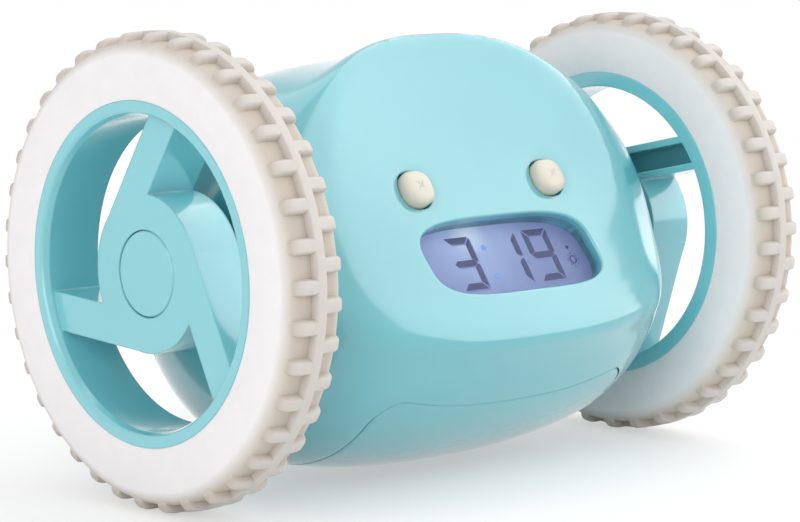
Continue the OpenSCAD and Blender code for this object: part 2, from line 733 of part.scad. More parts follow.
module left_motor() { motor(); }
module left_motor_shaft() { motor_shaft(); }
module left_motor_pinion() { motor_pinion(); }
module left_drive_gear() { drive_gear(); }
module left_gear_pin() { gear_pin(); }
module left_output_gear() { output_gear(); }
module left_wheel_shaft() { wheel_shaft(); }
module left_inner_plate() { inner_plate(); }
module left_outer_plate() { outer_plate(); }
module left_bush() { bush(); }
module left_hub() { hub(spoke_dir); }
module left_hub_cap() { hub_cap(); }
module left_wheel_screw() { wheel_screw(); }
module left_tyre() { tyre(); }
module other_side() { mirror([1, 0, 0]) children(); }
module right_motor() { other_side() motor(); }
module right_motor_shaft() { other_side() motor_shaft(); }
module right_motor_pinion() { other_side() motor_pinion(); }
module right_drive_gear() { other_side() drive_gear(); }
module right_gear_pin() { other_side() gear_pin(); }
module right_output_gear() { other_side() output_gear(); }
module right_wheel_shaft() { other_side() wheel_shaft(); }
module right_inner_plate() { other_side() inner_plate(); }
module right_outer_plate() { other_side() outer_plate(); }
module right_bush() { other_side() bush(); }
module right_hub() { other_side() hub(spoke_dir - 45); }
module right_hub_cap() { other_side() hub_cap(); }
module right_wheel_screw() { other_side() wheel_screw(); }
module right_tyre() { other_side() tyre(); }

front_shell();
rear_shell();
battery_door();
door_screw();
battery_tray();
battery_1();
battery_2();
battery_3();
battery_4();
battery_contacts_left();
battery_contacts_right();
display_window();
lcd_panel();
lcd_frame();
main_board();
controller_chip();
left_eye_button();
right_eye_button();
left_eye_switch();
right_eye_switch();
speaker_basket();
speaker_cone();
rear_board();
hour_button();
minute_button();
alarm_slider();
case_screws();
left_motor();
left_motor_shaft();
left_motor_pinion();
left_drive_gear();
left_gear_pin();
left_output_gear();
left_wheel_shaft();
left_inner_plate();
left_outer_plate();
left_bush();
left_hub();
left_hub_cap();
left_wheel_screw();
left_tyre();
right_motor();
right_motor_shaft();
right_motor_pinion();
right_drive_gear();
right_gear_pin();
right_output_gear();
right_wheel_shaft();
right_inner_plate();
right_outer_plate();
right_bush();
right_hub();
right_hub_cap();
right_wheel_screw();
right_tyre();
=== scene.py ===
"""Looks of a two-wheeled runaway alarm clock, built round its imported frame."""
import json
import math

import bmesh
import bpy
import numpy as np
from mathutils import Matrix, Vector


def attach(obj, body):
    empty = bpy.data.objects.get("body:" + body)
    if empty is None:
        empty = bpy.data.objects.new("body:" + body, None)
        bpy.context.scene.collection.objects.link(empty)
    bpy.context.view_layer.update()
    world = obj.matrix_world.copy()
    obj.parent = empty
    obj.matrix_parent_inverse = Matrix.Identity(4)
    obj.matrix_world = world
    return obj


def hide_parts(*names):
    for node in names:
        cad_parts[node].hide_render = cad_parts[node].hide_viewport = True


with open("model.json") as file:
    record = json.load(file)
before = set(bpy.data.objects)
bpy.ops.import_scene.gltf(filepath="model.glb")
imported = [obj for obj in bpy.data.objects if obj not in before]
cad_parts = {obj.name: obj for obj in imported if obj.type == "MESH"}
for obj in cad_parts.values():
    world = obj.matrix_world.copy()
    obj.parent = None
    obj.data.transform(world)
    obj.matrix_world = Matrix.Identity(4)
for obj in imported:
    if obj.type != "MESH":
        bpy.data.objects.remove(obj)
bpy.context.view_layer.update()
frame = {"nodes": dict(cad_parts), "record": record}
nodes = frame["nodes"]

# ---------------------------------------------------------------- body form, in millimetres from the axle
MM = 0.001
SIDES = ((-1, "left"), (1, "right"))
AXLE_Z = 43.4
LEAN_DEG = 34.6
LEAN = math.radians(LEAN_DEG)
DOOR_TURN, KEYS_TURN, BACK_TURN = 170, -45, -90
UP = np.array([0, math.sin(LEAN), math.cos(LEAN)])
OUT = np.array([0, -math.cos(LEAN), math.sin(LEAN)])
FACE_AT = np.array([0, -22.0, 9.9])
BARREL_AT = np.array([0, 2.2, -2.7])
BARREL_R = 39.3
END_R = 31.7
BARREL_POWER = 2.45
END_X = 47.8
WALL = 2.0
REAR_WALL = 1.6
END_BLEND = 17.2
FACE_HALF_W = 37.1
FACE_TAPER = 0.00387
FACE_HALF_UP, FACE_HALF_DOWN = 32.3, 25.9
FACE_POWER_UP, FACE_POWER_DOWN = 2.54, 3.0
HOOD_WIDEN = 0.0133
HOOD_DEPTH = 40
HOOD_END_BLEND = 8
NECK_BLEND = 11.4
RIM_BLEND = 1.73
FOLD_LOW, FOLD_RISE = 0.22, 0.33
FOLD_AT_T, FOLD_SPAN = 10, 4
TWIST = 0.00015
TWIST_MOST_UP, TWIST_MOST_DOWN = 0.0027, 0.0018
BROW_DISH = 0.0044
EYE_X = 17.3
EYE_T = 4.0
EYE_R = 3.5
EYE_POWER = 2.5
EYE_DISH_R = 6.4
EYE_DISH = 0.65
WINDOW_AT = (0.8, -10.7)
WINDOW_HALF = (21.8, 7.9)
WINDOW_POWER = 3.6
WINDOW_SLANT = 0.14
LCD_W = -4.0
SPLIT_LEAN = 11.31
SPLIT_N = np.array([0, math.cos(math.radians(SPLIT_LEAN)), math.sin(math.radians(SPLIT_LEAN))])
SPLIT_AT = 20.1
SEAM_R = 0.32
SEAM_MOST = 0.85
SEAM_LOOPS = (-1.0, -0.6, -0.3, -0.14, -0.05, 0.05, 0.14, 0.3, 0.6, 1.0)
HALVINGS = 26
FAN_X = 26
FROM_INSIDE = (4, 75)
NEAR_FACE = (-8, 8)
LIP_ANGLES = (0, 22, 45, 62, 74)
CUT_PROUD = 0.05
CUT_TOP, CUT_TOP_FACE = 70, 12
ON_SURFACE = 0.05
SAME_WAY = 0.93
SKIN_SHARP = 32


def smax(a, b, k):
    h = np.clip(0.5 + 0.5 * (a - b) / k, 0, 1)
    return a * h + b * (1 - h) + k * h * (1 - h)


def smin(a, b, k):
    return -smax(-a, -b, k)


def soft_clip(v, most):
    return most * np.tanh(v / most)


def face_height(s, t):
    """Height of the face: dished under the brow, bowed at the chin, with a soft dish round each eye."""
    twist = np.where(t > 0, soft_clip(TWIST * t, TWIST_MOST_UP), soft_clip(TWIST * t, TWIST_MOST_DOWN))
    high = twist * s * s + BROW_DISH * np.maximum(t, 0) ** 2
    for side in (-1, 1):
        q = ((s - side * EYE_X) ** 2 + (t - EYE_T) ** 2) / EYE_DISH_R ** 2
        high = high - EYE_DISH * np.clip(1 - q, 0, 1) ** 2
    return high


def barrel_field(p):
    """Barrel about the axle's direction, narrower toward its rounded ends."""
    x = np.abs(p[:, 0])
    u = np.minimum(1.2, x / END_X)
    r = np.hypot(p[:, 1] - BARREL_AT[1], p[:, 2] - BARREL_AT[2])
    drop = BARREL_R - END_R
    here = BARREL_R - drop * u ** BARREL_POWER
    slope = drop * BARREL_POWER * u ** (BARREL_POWER - 1) / END_X
    return smax((r - here) / np.sqrt(1 + slope * slope), x - END_X, END_BLEND)


def body_field(p):
    """Below nothing inside the body, above it outside: barrel, hood and face blended."""
    s = p[:, 0]
    t = (p - FACE_AT) @ UP
    w = (p - FACE_AT) @ OUT
    grow = 1 + HOOD_WIDEN * np.clip(w, -60, 5)
    a = np.maximum(5, FACE_HALF_W * grow * (1 - FACE_TAPER * t))
    b = np.where(t > 0, FACE_HALF_UP, FACE_HALF_DOWN) * grow
    n = np.where(t > 0, FACE_POWER_UP, FACE_POWER_DOWN)
    m = np.maximum(0.01, ((np.abs(s) / a) ** n + (np.abs(t) / b) ** n) ** (1 / n))
    beyond = (m - 1) * np.hypot(s, t) / m
    hood = smax(beyond, -HOOD_DEPTH - w, HOOD_END_BLEND)
    steep = FOLD_LOW + FOLD_RISE / (1 + np.exp(-(t - FOLD_AT_T) / FOLD_SPAN))
    fold = steep * np.log1p(np.exp(np.clip(beyond, -30, 30)))
    body = smin(barrel_field(p), hood, NECK_BLEND)
    return smax(body, w - face_height(s, t) + fold, RIM_BLEND)


def reach(o, d, between, skin=0.0):
    """Distance from each o along d to the surface sunk by skin, by halving the span it lies in."""
    lo, hi = between
    lo = np.full(len(o), float(lo))
    hi = np.full(len(o), float(hi))
    for _ in range(HALVINGS):
        m = (lo + hi) / 2
        outside = body_field(o + d * m[:, None]) + skin > 0
        hi = np.where(outside, m, hi)
        lo = np.where(outside, lo, m)
    return (lo + hi) / 2


def gradient(p):
    """Outward direction of the field, by small steps."""
    g = np.stack([body_field(p + e) - body_field(p - e) for e in np.eye(3) * 0.02], 1)
    return g / np.linalg.norm(g, axis=1)[:, None]


# ---------------------------------------------------------------- meshes
def to_row(points):
    """Millimetres from the axle to metres in the row's frame."""
    return (np.asarray(points, float) + [0, 0, AXLE_Z]) * MM


def from_row(points):
    return np.asarray(points, float) / MM - [0, 0, AXLE_Z]


def new_object(name, points, faces, row=True):
    mesh = bpy.data.meshes.new(name)
    mesh.from_pydata((to_row(points) if row else np.asarray(points)).tolist(), [], faces)
    mesh.update()
    obj = bpy.data.objects.new(name, mesh)
    bpy.context.scene.collection.objects.link(obj)
    return obj


def body_ball(name, skin, cols, mids, fans):
    """Closed surface of the body, by rays from a line along the axle that fan out at its two ends."""
    step = 90 / (fans + 1)
    rows = [(-FAN_X, -k * step) for k in range(fans, 0, -1)]
    rows += [(-FAN_X + 2 * FAN_X * k / mids, 0) for k in range(mids + 1)]
    rows += [(FAN_X, k * step) for k in range(1, fans + 1)]
    rows = np.array(rows)
    a = np.radians(np.arange(cols) * 360 / cols)
    tilt = np.radians(rows[:, 1])
    d = np.zeros((len(rows), cols, 3))
    d[..., 0] = np.sin(tilt)[:, None]
    d[..., 1] = -np.cos(tilt)[:, None] * np.cos(a)
    d[..., 2] = np.cos(tilt)[:, None] * np.sin(a)
    o = np.zeros_like(d)
    o[..., 0] = rows[:, 0][:, None]
    d = np.concatenate([[[-1, 0, 0]], d.reshape(-1, 3), [[1, 0, 0]]])
    o = np.concatenate([[[-FAN_X, 0, 0]], o.reshape(-1, 3), [[FAN_X, 0, 0]]])
    pts = o + d * reach(o, d, FROM_INSIDE, skin)[:, None]
    last = len(pts) - 1

    def at(r, c):
        return 1 + r * cols + c % cols

    faces = [(0, at(0, c + 1), at(0, c)) for c in range(cols)]
    faces += [(at(r, c), at(r, c + 1), at(r + 1, c + 1), at(r + 1, c))
              for r in range(len(rows) - 1) for c in range(cols)]
    faces += [(last, at(len(rows) - 1, c), at(len(rows) - 1, c + 1)) for c in range(cols)]
    return new_object(name, pts, faces)


def oval(hw, hh, n, slant, count):
    """Superellipse of power n, leaning by slant."""
    a = np.arange(count) * 2 * np.pi / count
    x = hw * np.sign(np.cos(a)) * np.abs(np.cos(a)) ** (2 / n)
    y = hh * np.sign(np.sin(a)) * np.abs(np.sin(a)) ** (2 / n)
    return even(np.stack([x - slant * y, y], 1), count)


def even(outline, count):
    """The same closed outline with points at equal distances."""
    loop = np.vstack([outline, outline[:1]])
    run = np.concatenate([[0], np.cumsum(np.linalg.norm(np.diff(loop, axis=0), axis=1))])
    at = np.arange(count) * run[-1] / count
    return np.stack([np.interp(at, run, loop[:, k]) for k in (0, 1)], 1)


def rounded(w, h, r, centre, arc, sides):
    """Rectangle with round corners, its straight edges split into sides parts."""
    pts = []
    for q, (i, j) in enumerate(((1, 1), (-1, 1), (-1, -1), (1, -1))):
        for k in range(arc + 1):
            a = math.radians(90 * q + 90 * k / arc)
            pts.append((i * (w / 2 - r) + r * math.cos(a), j * (h / 2 - r) + r * math.sin(a)))
    loop = []
    for k, p in enumerate(pts):
        nxt = pts[(k + 1) % len(pts)]
        parts = sides if (k + 1) % (arc + 1) == 0 else 1
        loop += [(p[0] + (nxt[0] - p[0]) * m / parts, p[1] + (nxt[1] - p[1]) * m / parts)
                 for m in range(parts)]
    return np.array(loop) + centre


def outward(outline):
    """Outward direction at each point of a closed outline."""
    t = np.roll(outline, -1, 0) - np.roll(outline, 1, 0)
    n = np.stack([t[:, 1], -t[:, 0]], 1)
    return n / np.linalg.norm(n, axis=1)[:, None]


def axes(turn):
    """Local X, Y, Z of a frame turned about the axle's direction."""
    a = math.radians(turn)
    return np.array([[1, 0, 0], [0, math.cos(a), math.sin(a)], [0, -math.sin(a), math.cos(a)]])


FACE = (FACE_AT, axes(90 - LEAN_DEG))
DOOR = (BARREL_AT, axes(DOOR_TURN))
KEYS = (BARREL_AT, axes(KEYS_TURN))
BACK = (BARREL_AT, axes(BACK_TURN))


def band(first, second, n):
    """Quads between two loops of n points that start at the given indices."""
    return [(first + i, first + (i + 1) % n, second + (i + 1) % n, second + i) for i in range(n)]


def loft(name, place, outline, rings):
    """Closed solid of rings of one outline.

    Each ring is its growth, its height, and whether that height is over the body's surface or level.
    """
    origin, ax = place
    n = len(outline)
    pts = []
    side = outward(outline)
    between = NEAR_FACE if place is FACE else FROM_INSIDE
    for grow, h, follows in rings:
        q = np.concatenate([outline + side * grow, np.zeros((n, 1))], 1)
        lift = reach(origin + q @ ax, np.tile(ax[2], (n, 1)), between) if follows else 0
        q[:, 2] = lift + h
        pts.append(q)
    ends = [pts[0].mean(0), pts[-1].mean(0)]
    allp = np.concatenate(pts + [np.array(ends)])
    faces = []
    for k in range(len(pts) - 1):
        faces += band(k * n, (k + 1) * n, n)
    total = len(pts) * n
    faces += [(total, (i + 1) % n, i) for i in range(n)]
    top = (len(pts) - 1) * n
    faces += [(total + 1, top + i, top + (i + 1) % n) for i in range(n)]
    return new_object(name, origin + allp @ ax, faces)


def lipped(name, place, outline, depth, lip, opens=True):
    """Cutter whose mouth flares with a rounded lip, or a plug whose top edge is rounded."""
    sign = 1 if opens else -1
    angles = np.radians(LIP_ANGLES)
    rings = [(0, -depth, True)]
    rings += [(sign * lip * (1 - math.cos(a)), -lip * (1 - math.sin(a)), True) for a in angles]
    last = rings[-1]
    rise = CUT_PROUD - last[1]
    rings.append((last[0] + sign * rise * math.tan(angles[-1]), CUT_PROUD, True))
    rings.append((rings[-1][0], CUT_TOP_FACE if place is FACE else CUT_TOP, False))
    return loft(name, place, outline, rings)


def join(objs):
    """All the objects' meshes in one new object."""
    bm = bmesh.new()
    for o in objs:
        bm.from_mesh(o.data)
        bpy.data.objects.remove(o)
    mesh = bpy.data.meshes.new("joined")
    bm.to_mesh(mesh)
    bm.free()
    obj = bpy.data.objects.new("joined", mesh)
    bpy.context.scene.collection.objects.link(obj)
    return obj


def cut(obj, tool, how="DIFFERENCE"):
    """Boolean of obj with a tool, which is used up."""
    mod = obj.modifiers.new("cut", "BOOLEAN")
    mod.operation = how
    mod.solver = "MANIFOLD"
    mod.object = tool
    graph = bpy.context.evaluated_depsgraph_get()
    mesh = bpy.data.meshes.new_from_object(obj.evaluated_get(graph))
    obj.modifiers.remove(mod)
    obj.data = mesh
    bpy.data.objects.remove(tool)
    return obj


def copy_of(obj, name):
    other = obj.copy()
    other.data = obj.data.copy()
    other.name = name
    bpy.context.scene.collection.objects.link(other)
    return other


def box_piece(name, place, lo, hi):
    """Block in a local frame, only ever a cutting tool."""
    origin, ax = place
    c = np.array([[x, y, z] for x in (lo[0], hi[0]) for y in (lo[1], hi[1]) for z in (lo[2], hi[2])], float)
    f = [(0, 1, 3, 2), (4, 6, 7, 5), (0, 4, 5, 1), (2, 3, 7, 6), (0, 2, 6, 4), (1, 5, 7, 3)]
    return new_object(name, origin + c @ ax, f)


def smooth_skin(obj, name):
    """Analytic normals on the outer surface, smooth by angle elsewhere."""
    mesh = obj.data
    obj.name = mesh.name = name
    mesh.polygons.foreach_set("use_smooth", [True] * len(mesh.polygons))
    mesh.set_sharp_from_angle(angle=math.radians(SKIN_SHARP))
    co = np.zeros(len(mesh.vertices) * 3)
    mesh.vertices.foreach_get("co", co)
    co = from_row(co.reshape(-1, 3))
    centre = np.zeros(len(mesh.polygons) * 3)
    mesh.polygons.foreach_get("center", centre)
    centre = from_row(centre.reshape(-1, 3))
    normal = np.zeros(len(mesh.polygons) * 3)
    mesh.polygons.foreach_get("normal", normal)
    normal = normal.reshape(-1, 3)
    near = np.abs(body_field(centre)) < ON_SURFACE
    outer = np.zeros(len(mesh.polygons), bool)
    outer[near] = (gradient(centre[near]) * normal[near]).sum(1) > SAME_WAY
    total = np.zeros(len(mesh.polygons), int)
    mesh.polygons.foreach_get("loop_total", total)
    corner = np.zeros(len(mesh.loops), int)
    mesh.loops.foreach_get("vertex_index", corner)
    owner = np.repeat(np.arange(len(mesh.polygons)), total)
    pick = outer[owner]
    fine = gradient(co)
    given = np.zeros((len(mesh.loops), 3))
    given[pick] = fine[corner[pick]]
    mesh.normals_split_custom_set(given.tolist())


def seam_rounding(obj):
    """Extra edge loops beside the split plane, sunk to a rounded edge."""
    bm = bmesh.new()
    bm.from_mesh(obj.data)
    co = Vector(to_row([SPLIT_N * SPLIT_AT])[0])
    across = Vector(SPLIT_N)
    for off in SEAM_LOOPS:
        bmesh.ops.bisect_plane(bm, geom=bm.verts[:] + bm.edges[:] + bm.faces[:], dist=1e-7,
                               plane_co=co + across * (off * SEAM_R * MM), plane_no=across)
    bm.to_mesh(obj.data)
    bm.free()
    pts = np.zeros(len(obj.data.vertices) * 3)
    obj.data.vertices.foreach_get("co", pts)
    pts = from_row(pts.reshape(-1, 3))
    off = np.abs(pts @ SPLIT_N - SPLIT_AT)
    near = off < SEAM_R
    g = gradient(pts[near])
    sink = SEAM_R - np.sqrt(np.maximum(0, SEAM_R ** 2 - (SEAM_R - off[near]) ** 2))
    pts[near] -= g * np.minimum(sink, SEAM_R * SEAM_MOST)[:, None]
    obj.data.vertices.foreach_set("co", to_row(pts).ravel())
    obj.data.update()


def bore(side):
    """Round tool for the hole of one axle collar."""
    a = np.radians(np.arange(0, 360, 5))
    ring = BORE_R * np.stack([np.cos(a), np.sin(a)], 1)
    pts = np.concatenate([[[side * x, y, z] for y, z in ring] for x in BORE_SPAN])
    n = len(ring)
    faces = band(0, n, n) + [tuple(range(n))[::-1], tuple(range(n, 2 * n))]
    return new_object("bore", pts, faces if side > 0 else [f[::-1] for f in faces])


OUTER_GRID = ((360, 92, 60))
INNER_GRID = (120, 30, 20)
BORE_R = 5.06
BORE_SPAN = (38, 52)
SPLIT_GAP = 0.02
FAR = 80
DOOR_W, DOOR_H, DOOR_CORNER = 65.4, 53.4, 6
DOOR_AT = (0, -0.3)
DOOR_GAP = 0.25
DOOR_LIP = 0.22
DOOR_DEEP = 8
FACE_DEEP = 6
WINDOW_LIP = 0.55
EYE_GAP, EYE_LIP = 0.3, 0.3
SPEAKER_R2 = 115  # radius of the slotted patch, squared
SPEAKER_PITCH = 3
SPEAKER_SIDE = 3  # slots above the middle one, and below it
SLOT_H, SLOT_CORNER, SLOT_DEEP = 1.5, 0.7, 4
SLIDER_W, SLIDER_H, SLIDER_CORNER = 11, 3.6, 1
KEY_R, KEY_X, KEY_DEEP = 3.1, 14, 6
KEY_LIP, FINE_LIP = 0.35, 0.3
WELL_R, WELL_DEEP = 2.9, 2.6
WELLS = ((27, 22), (-27, 22), (36, -16), (-36, -16))

door_plan = rounded(DOOR_W, DOOR_H, DOOR_CORNER, DOOR_AT, 10, 24)
window_plan = oval(*WINDOW_HALF, WINDOW_POWER, WINDOW_SLANT, 160) + WINDOW_AT


def front_mouths():
    """Tools for the window, the eyes, the axle's bores and the belly's door."""
    mouths = [lipped("window_mouth", FACE, window_plan, FACE_DEEP, WINDOW_LIP)]
    for side, _ in SIDES:
        eye_plan = oval(EYE_R + EYE_GAP, EYE_R + EYE_GAP, EYE_POWER, 0, 72) + [side * EYE_X, EYE_T]
        mouths.append(lipped("eye_mouth", FACE, eye_plan, FACE_DEEP, EYE_LIP))
    mouths += [bore(side) for side, _ in SIDES]
    mouths.append(lipped("door_mouth", DOOR, door_plan, DOOR_DEEP, DOOR_LIP))
    return join(mouths)


def door_plug():
    """Tool that leaves the door, smaller than its opening by the gap."""
    plug_plan = door_plan + outward(door_plan) * -DOOR_GAP
    return lipped("door_plug", DOOR, plug_plan, DOOR_DEEP, DOOR_LIP, opens=False)


def rear_holes():
    """Tools for the speaker's slots, the keys, the slider and the screws' wells."""
    holes = []
    for k in range(-SPEAKER_SIDE, SPEAKER_SIDE + 1):
        slot_w = 2 * math.sqrt(SPEAKER_R2 - (SPEAKER_PITCH * k) ** 2)
        slot_plan = rounded(slot_w, SLOT_H, SLOT_CORNER, (0, -SPEAKER_PITCH * k), 6, 6)
        holes.append(lipped("slot", BACK, slot_plan, SLOT_DEEP, KEY_LIP))
    for side, _ in SIDES:
        key_plan = oval(KEY_R, KEY_R, 2, 0, 64) + [side * KEY_X, 0]
        holes.append(lipped("key_hole", KEYS, key_plan, KEY_DEEP, KEY_LIP))
    slider_plan = rounded(SLIDER_W, SLIDER_H, SLIDER_CORNER, (0, 0), 6, 6)
    holes.append(lipped("slider_hole", KEYS, slider_plan, KEY_DEEP, FINE_LIP))
    for x, z in WELLS:
        well_plan = oval(WELL_R, WELL_R, 2, 0, 48) + [x, -(z - BARREL_AT[2])]
        holes.append(lipped("screw_well", BACK, well_plan, WELL_DEEP, FINE_LIP))
    return join(holes)


outer = body_ball("outer", 0.0, *OUTER_GRID)
seam_rounding(outer)
inner = body_ball("inner", WALL, *INNER_GRID)
rear_inner = body_ball("rear_inner", REAR_WALL, *INNER_GRID)
HALF = (np.zeros(3), axes(SPLIT_LEAN))
rear_side = box_piece("rear_side", HALF, (-FAR, SPLIT_AT + SPLIT_GAP, -FAR), (FAR, SPLIT_AT + FAR, FAR))

door = copy_of(outer, "battery_door_skin")
cut(door, copy_of(inner, "inner_again"))
cut(door, door_plug(), "INTERSECT")

front = copy_of(outer, "front_shell_skin")
cut(front, copy_of(rear_side, "again"))
cut(front, inner)
cut(front, front_mouths())

rear = outer
cut(rear, rear_side, "INTERSECT")
cut(rear, rear_inner)
cut(rear, rear_holes())

skins = {"front_shell": front, "rear_shell": rear, "battery_door": door}
for name, obj in skins.items():
    smooth_skin(obj, name + "_skin")
    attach(obj, "battery_door" if name == "battery_door" else "case")
    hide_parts(name)


# ---------------------------------------------------------------- pane, eye caps and tyres
def smooth(obj, angle):
    """Smooth shading, with edges sharper than the angle left as edges."""
    obj.data.polygons.foreach_set("use_smooth", [True] * len(obj.data.polygons))
    obj.data.set_sharp_from_angle(angle=math.radians(angle))
    return obj


PANE_GAP = 0.12
PANE_RINGS = [(0.9, -3.6, False), (0.9, -2.9, False), (0, -2.9, False), (0, -1.45, True),
              (-0.12, -1.25, True), (-0.4, -1.2, True), (-3.0, -1.15, True)]
pane = loft("window_pane", FACE, window_plan + outward(window_plan) * -PANE_GAP, PANE_RINGS)
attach(smooth(pane, 35), "case")
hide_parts("display_window")

CAP_RINGS = [(0, -2.8), (0, 0.7), (-0.06, 1.1), (-0.22, 1.45), (-0.5, 1.75), (-0.95, 1.98),
             (-1.6, 2.14), (-2.4, 2.22), (-3.1, 2.25)]
SKIRT_RINGS = [(0, -3.7), (0, -2.8)]
STEM_RINGS = [(0, -5.8), (0, -3.6)]
SKIRT_OUT = 0.8
STEM_SHARE = 0.42


def level(rings):
    return [(grow, h, False) for grow, h in rings]


def eye_cap(side, name):
    """Domed cap of one eye, with its skirt and stem behind the face."""
    plan = oval(EYE_R, EYE_R, EYE_POWER, 0, 96)
    skirt = oval(EYE_R + SKIRT_OUT, EYE_R + SKIRT_OUT, 2, 0, 96)
    place = (FACE_AT + np.array([1, 0, 0]) * side * EYE_X + UP * EYE_T, FACE[1])
    top = loft("cap", place, plan, level(CAP_RINGS))
    flange = loft("skirt", place, skirt, level(SKIRT_RINGS))
    stem = loft("stem", place, skirt * STEM_SHARE, level(STEM_RINGS))
    cap = cut(cut(top, flange, "UNION"), stem, "UNION")
    cap.name = name + "_eye_cap"
    return smooth(cap, 30)


caps = {}
for side, name in SIDES:
    cap = eye_cap(side, name)
    caps[name] = cap
    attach(cap, name + "_eye_button")
    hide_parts(name + "_eye_button")

HALF_W = 66.6
WHEEL_W = 12.4
RIM_R = 31.16
TREAD_R = 43.3
LUGS = 38
LUG_TURN = 2.2
LUG_HALF_W = 1.32
LUG_SINK = 0.05
LUG_FLARE, LUG_FLARE_FROM = 0.16, 0.4
LUG_FLOOR_R = 39.8
TYRE_STEPS = 240
# radius and distance from the outer side, up to the middle of the rib
TYRE_HALF = [(RIM_R, 0.12), (31.5, 0), (39.0, 0), (39.9, 0.14), (40.6, 0.5), (41.15, 1.05), (41.5, 1.7),
             (41.65, 2.5), (41.7, 5.0), (42.9, 5.15), (TREAD_R - 0.06, 5.3), (TREAD_R, 5.5)]
# distance from the outer side, drop of the block's top, share of its width
LUG_STATIONS = [(6.0, 0.0, 1.0), (3.6, 0.0, 1.0), (2.6, 0.1, 1.0), (1.9, 0.32, 0.99), (1.4, 0.66, 0.96),
                (1.05, 1.15, 0.9), (0.85, 1.8, 0.8), (0.8, 2.6, 0.66)]
# share of the half width and height over the top, from the foot to the crown
LUG_CORNER = [(1.0, -3.0), (1.0, -0.75), (0.93, -0.36), (0.78, -0.12), (0.55, 0.0)]


def tyre_ring():
    """Ring about the axle from the outer half of its section, mirrored about its middle."""
    outline = np.array(TYRE_HALF + [(r, WHEEL_W - x) for r, x in reversed(TYRE_HALF)])
    a = np.radians(np.arange(TYRE_STEPS) * 360 / TYRE_STEPS)
    pts = np.array([[x, -r * math.cos(q), r * math.sin(q)] for q in a for r, x in outline])
    n = len(outline)
    faces = []
    for k in range(TYRE_STEPS):
        faces += band(k * n, (k + 1) % TYRE_STEPS * n, n)
    return pts, faces


def lug(turn, outer):
    """One block from the middle rib to the shoulder, its outer end and edges rounded."""
    section = LUG_CORNER + [(-u, v) for u, v in reversed(LUG_CORNER)]
    pts = []
    for x, drop, wide in LUG_STATIONS:
        across = x if outer else WHEEL_W - x
        for u, v in section:
            r = max(TREAD_R - LUG_SINK - drop + v, LUG_FLOOR_R)
            low = max(0.0, -v - LUG_FLARE_FROM) * LUG_FLARE
            a = turn + (u * wide * LUG_HALF_W + math.copysign(low, u)) / TREAD_R
            pts.append((across, -r * math.cos(a), r * math.sin(a)))
    n = len(section)
    faces = []
    for k in range(len(LUG_STATIONS) - 1):
        faces += band(k * n, (k + 1) * n, n)
    last = (len(LUG_STATIONS) - 1) * n
    faces += [tuple(reversed(range(n))), tuple(last + i for i in range(n))]
    return pts, faces


def tread_blocks():
    """Two rows of blocks, the inner row half a step on from the outer one."""
    pts, faces = [], []
    for k in range(LUGS):
        for row, is_outer in ((0, True), (0.5, False)):
            got, quads = lug(math.radians((k + row) * 360 / LUGS + LUG_TURN), is_outer)
            faces += [tuple(len(pts) + i for i in f) for f in quads]
            pts += got
    return np.array(pts), faces


def wheel_piece(side, pts, faces):
    """Object of one wheel's piece, given from its outer side, with its faces turned outward."""
    pts[:, 0] = side * (HALF_W - pts[:, 0])
    obj = new_object("wheel_piece", pts, faces)
    bm = bmesh.new()
    bm.from_mesh(obj.data)
    bmesh.ops.recalc_face_normals(bm, faces=bm.faces[:])
    bm.to_mesh(obj.data)
    bm.free()
    return obj


tyres = {}
for side, name in SIDES:
    tyre = cut(wheel_piece(side, *tyre_ring()), wheel_piece(side, *tread_blocks()), "UNION")
    tyre.name = name + "_tyre_rubber"
    tyres[name] = smooth(tyre, 28)
    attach(tyre, name + "_wheel")
    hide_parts(name + "_tyre")


# ---------------------------------------------------------------- display
def face_point(s, t, w):
    return FACE_AT + s * np.array([1, 0, 0]) + t * UP + w * OUT


def plate(polys, w0, w1, name):
    """Thin flat figures on the face's frame, all in one piece."""
    pts, faces = [], []
    for poly in polys:
        n, base = len(poly), len(pts)
        for w in (w0, w1):
            pts += [face_point(s, t, w) for s, t in poly]
        faces.append(tuple(base + n + i for i in range(n)))
        faces.append(tuple(base + n - 1 - i for i in range(n)))
        faces += [(base + i, base + (i + 1) % n, base + n + (i + 1) % n, base + n + i) for i in range(n)]
    return new_object(name, pts, faces)


LIT = {"3": ("a", "b", "c", "d", "g"), "1": ("b", "c"), "9": ("a", "b", "c", "d", "f", "g")}
DIGIT_W, DIGIT_H = 6.5, 11.0
BAR = 1.35
BAR_GAP = 0.17
DIGIT_ROW = -10.2
PAINTED_SHADOW_SHIFT = (0.22, -0.3)


def digit(char, cx, cy):
    """The lit bars of one seven-bar figure, with slanted or pointed ends."""
    th, g = BAR, BAR_GAP
    l, r = cx - DIGIT_W / 2, cx + DIGIT_W / 2
    top, bot = cy + DIGIT_H / 2, cy - DIGIT_H / 2
    near, far, end = g * 1.4, th + g * 1.4, g * 2.4
    tip, waist = th * 0.6 + g * 2.4, th / 2 + g * 1.4
    figures = {
        "a": [(l + near, top), (l + far, top - th), (r - far, top - th), (r - near, top)],
        "d": [(l + near, bot), (r - near, bot), (r - far, bot + th), (l + far, bot + th)],
        "g": [(l + end, cy), (l + tip, cy + th / 2), (r - tip, cy + th / 2),
              (r - end, cy), (r - tip, cy - th / 2), (l + tip, cy - th / 2)],
        "f": [(l, top - near), (l, cy + g * 2), (l + th * 0.45, cy + g * 1.6), (l + th, cy + waist),
              (l + th, top - far)],
        "b": [(r, top - near), (r - th, top - far), (r - th, cy + waist), (r - th * 0.45, cy + g * 1.6),
              (r, cy + g * 2)],
        "c": [(r, bot + near), (r, cy - g * 2), (r - th * 0.45, cy - g * 1.6), (r - th, cy - waist),
              (r - th, bot + far)],
    }
    return [figures[k] for k in LIT[char]]


def disc(cx, cy, r, count=24):
    return [(cx + r * math.cos(2 * math.pi * k / count), cy + r * math.sin(2 * math.pi * k / count))
            for k in range(count)]


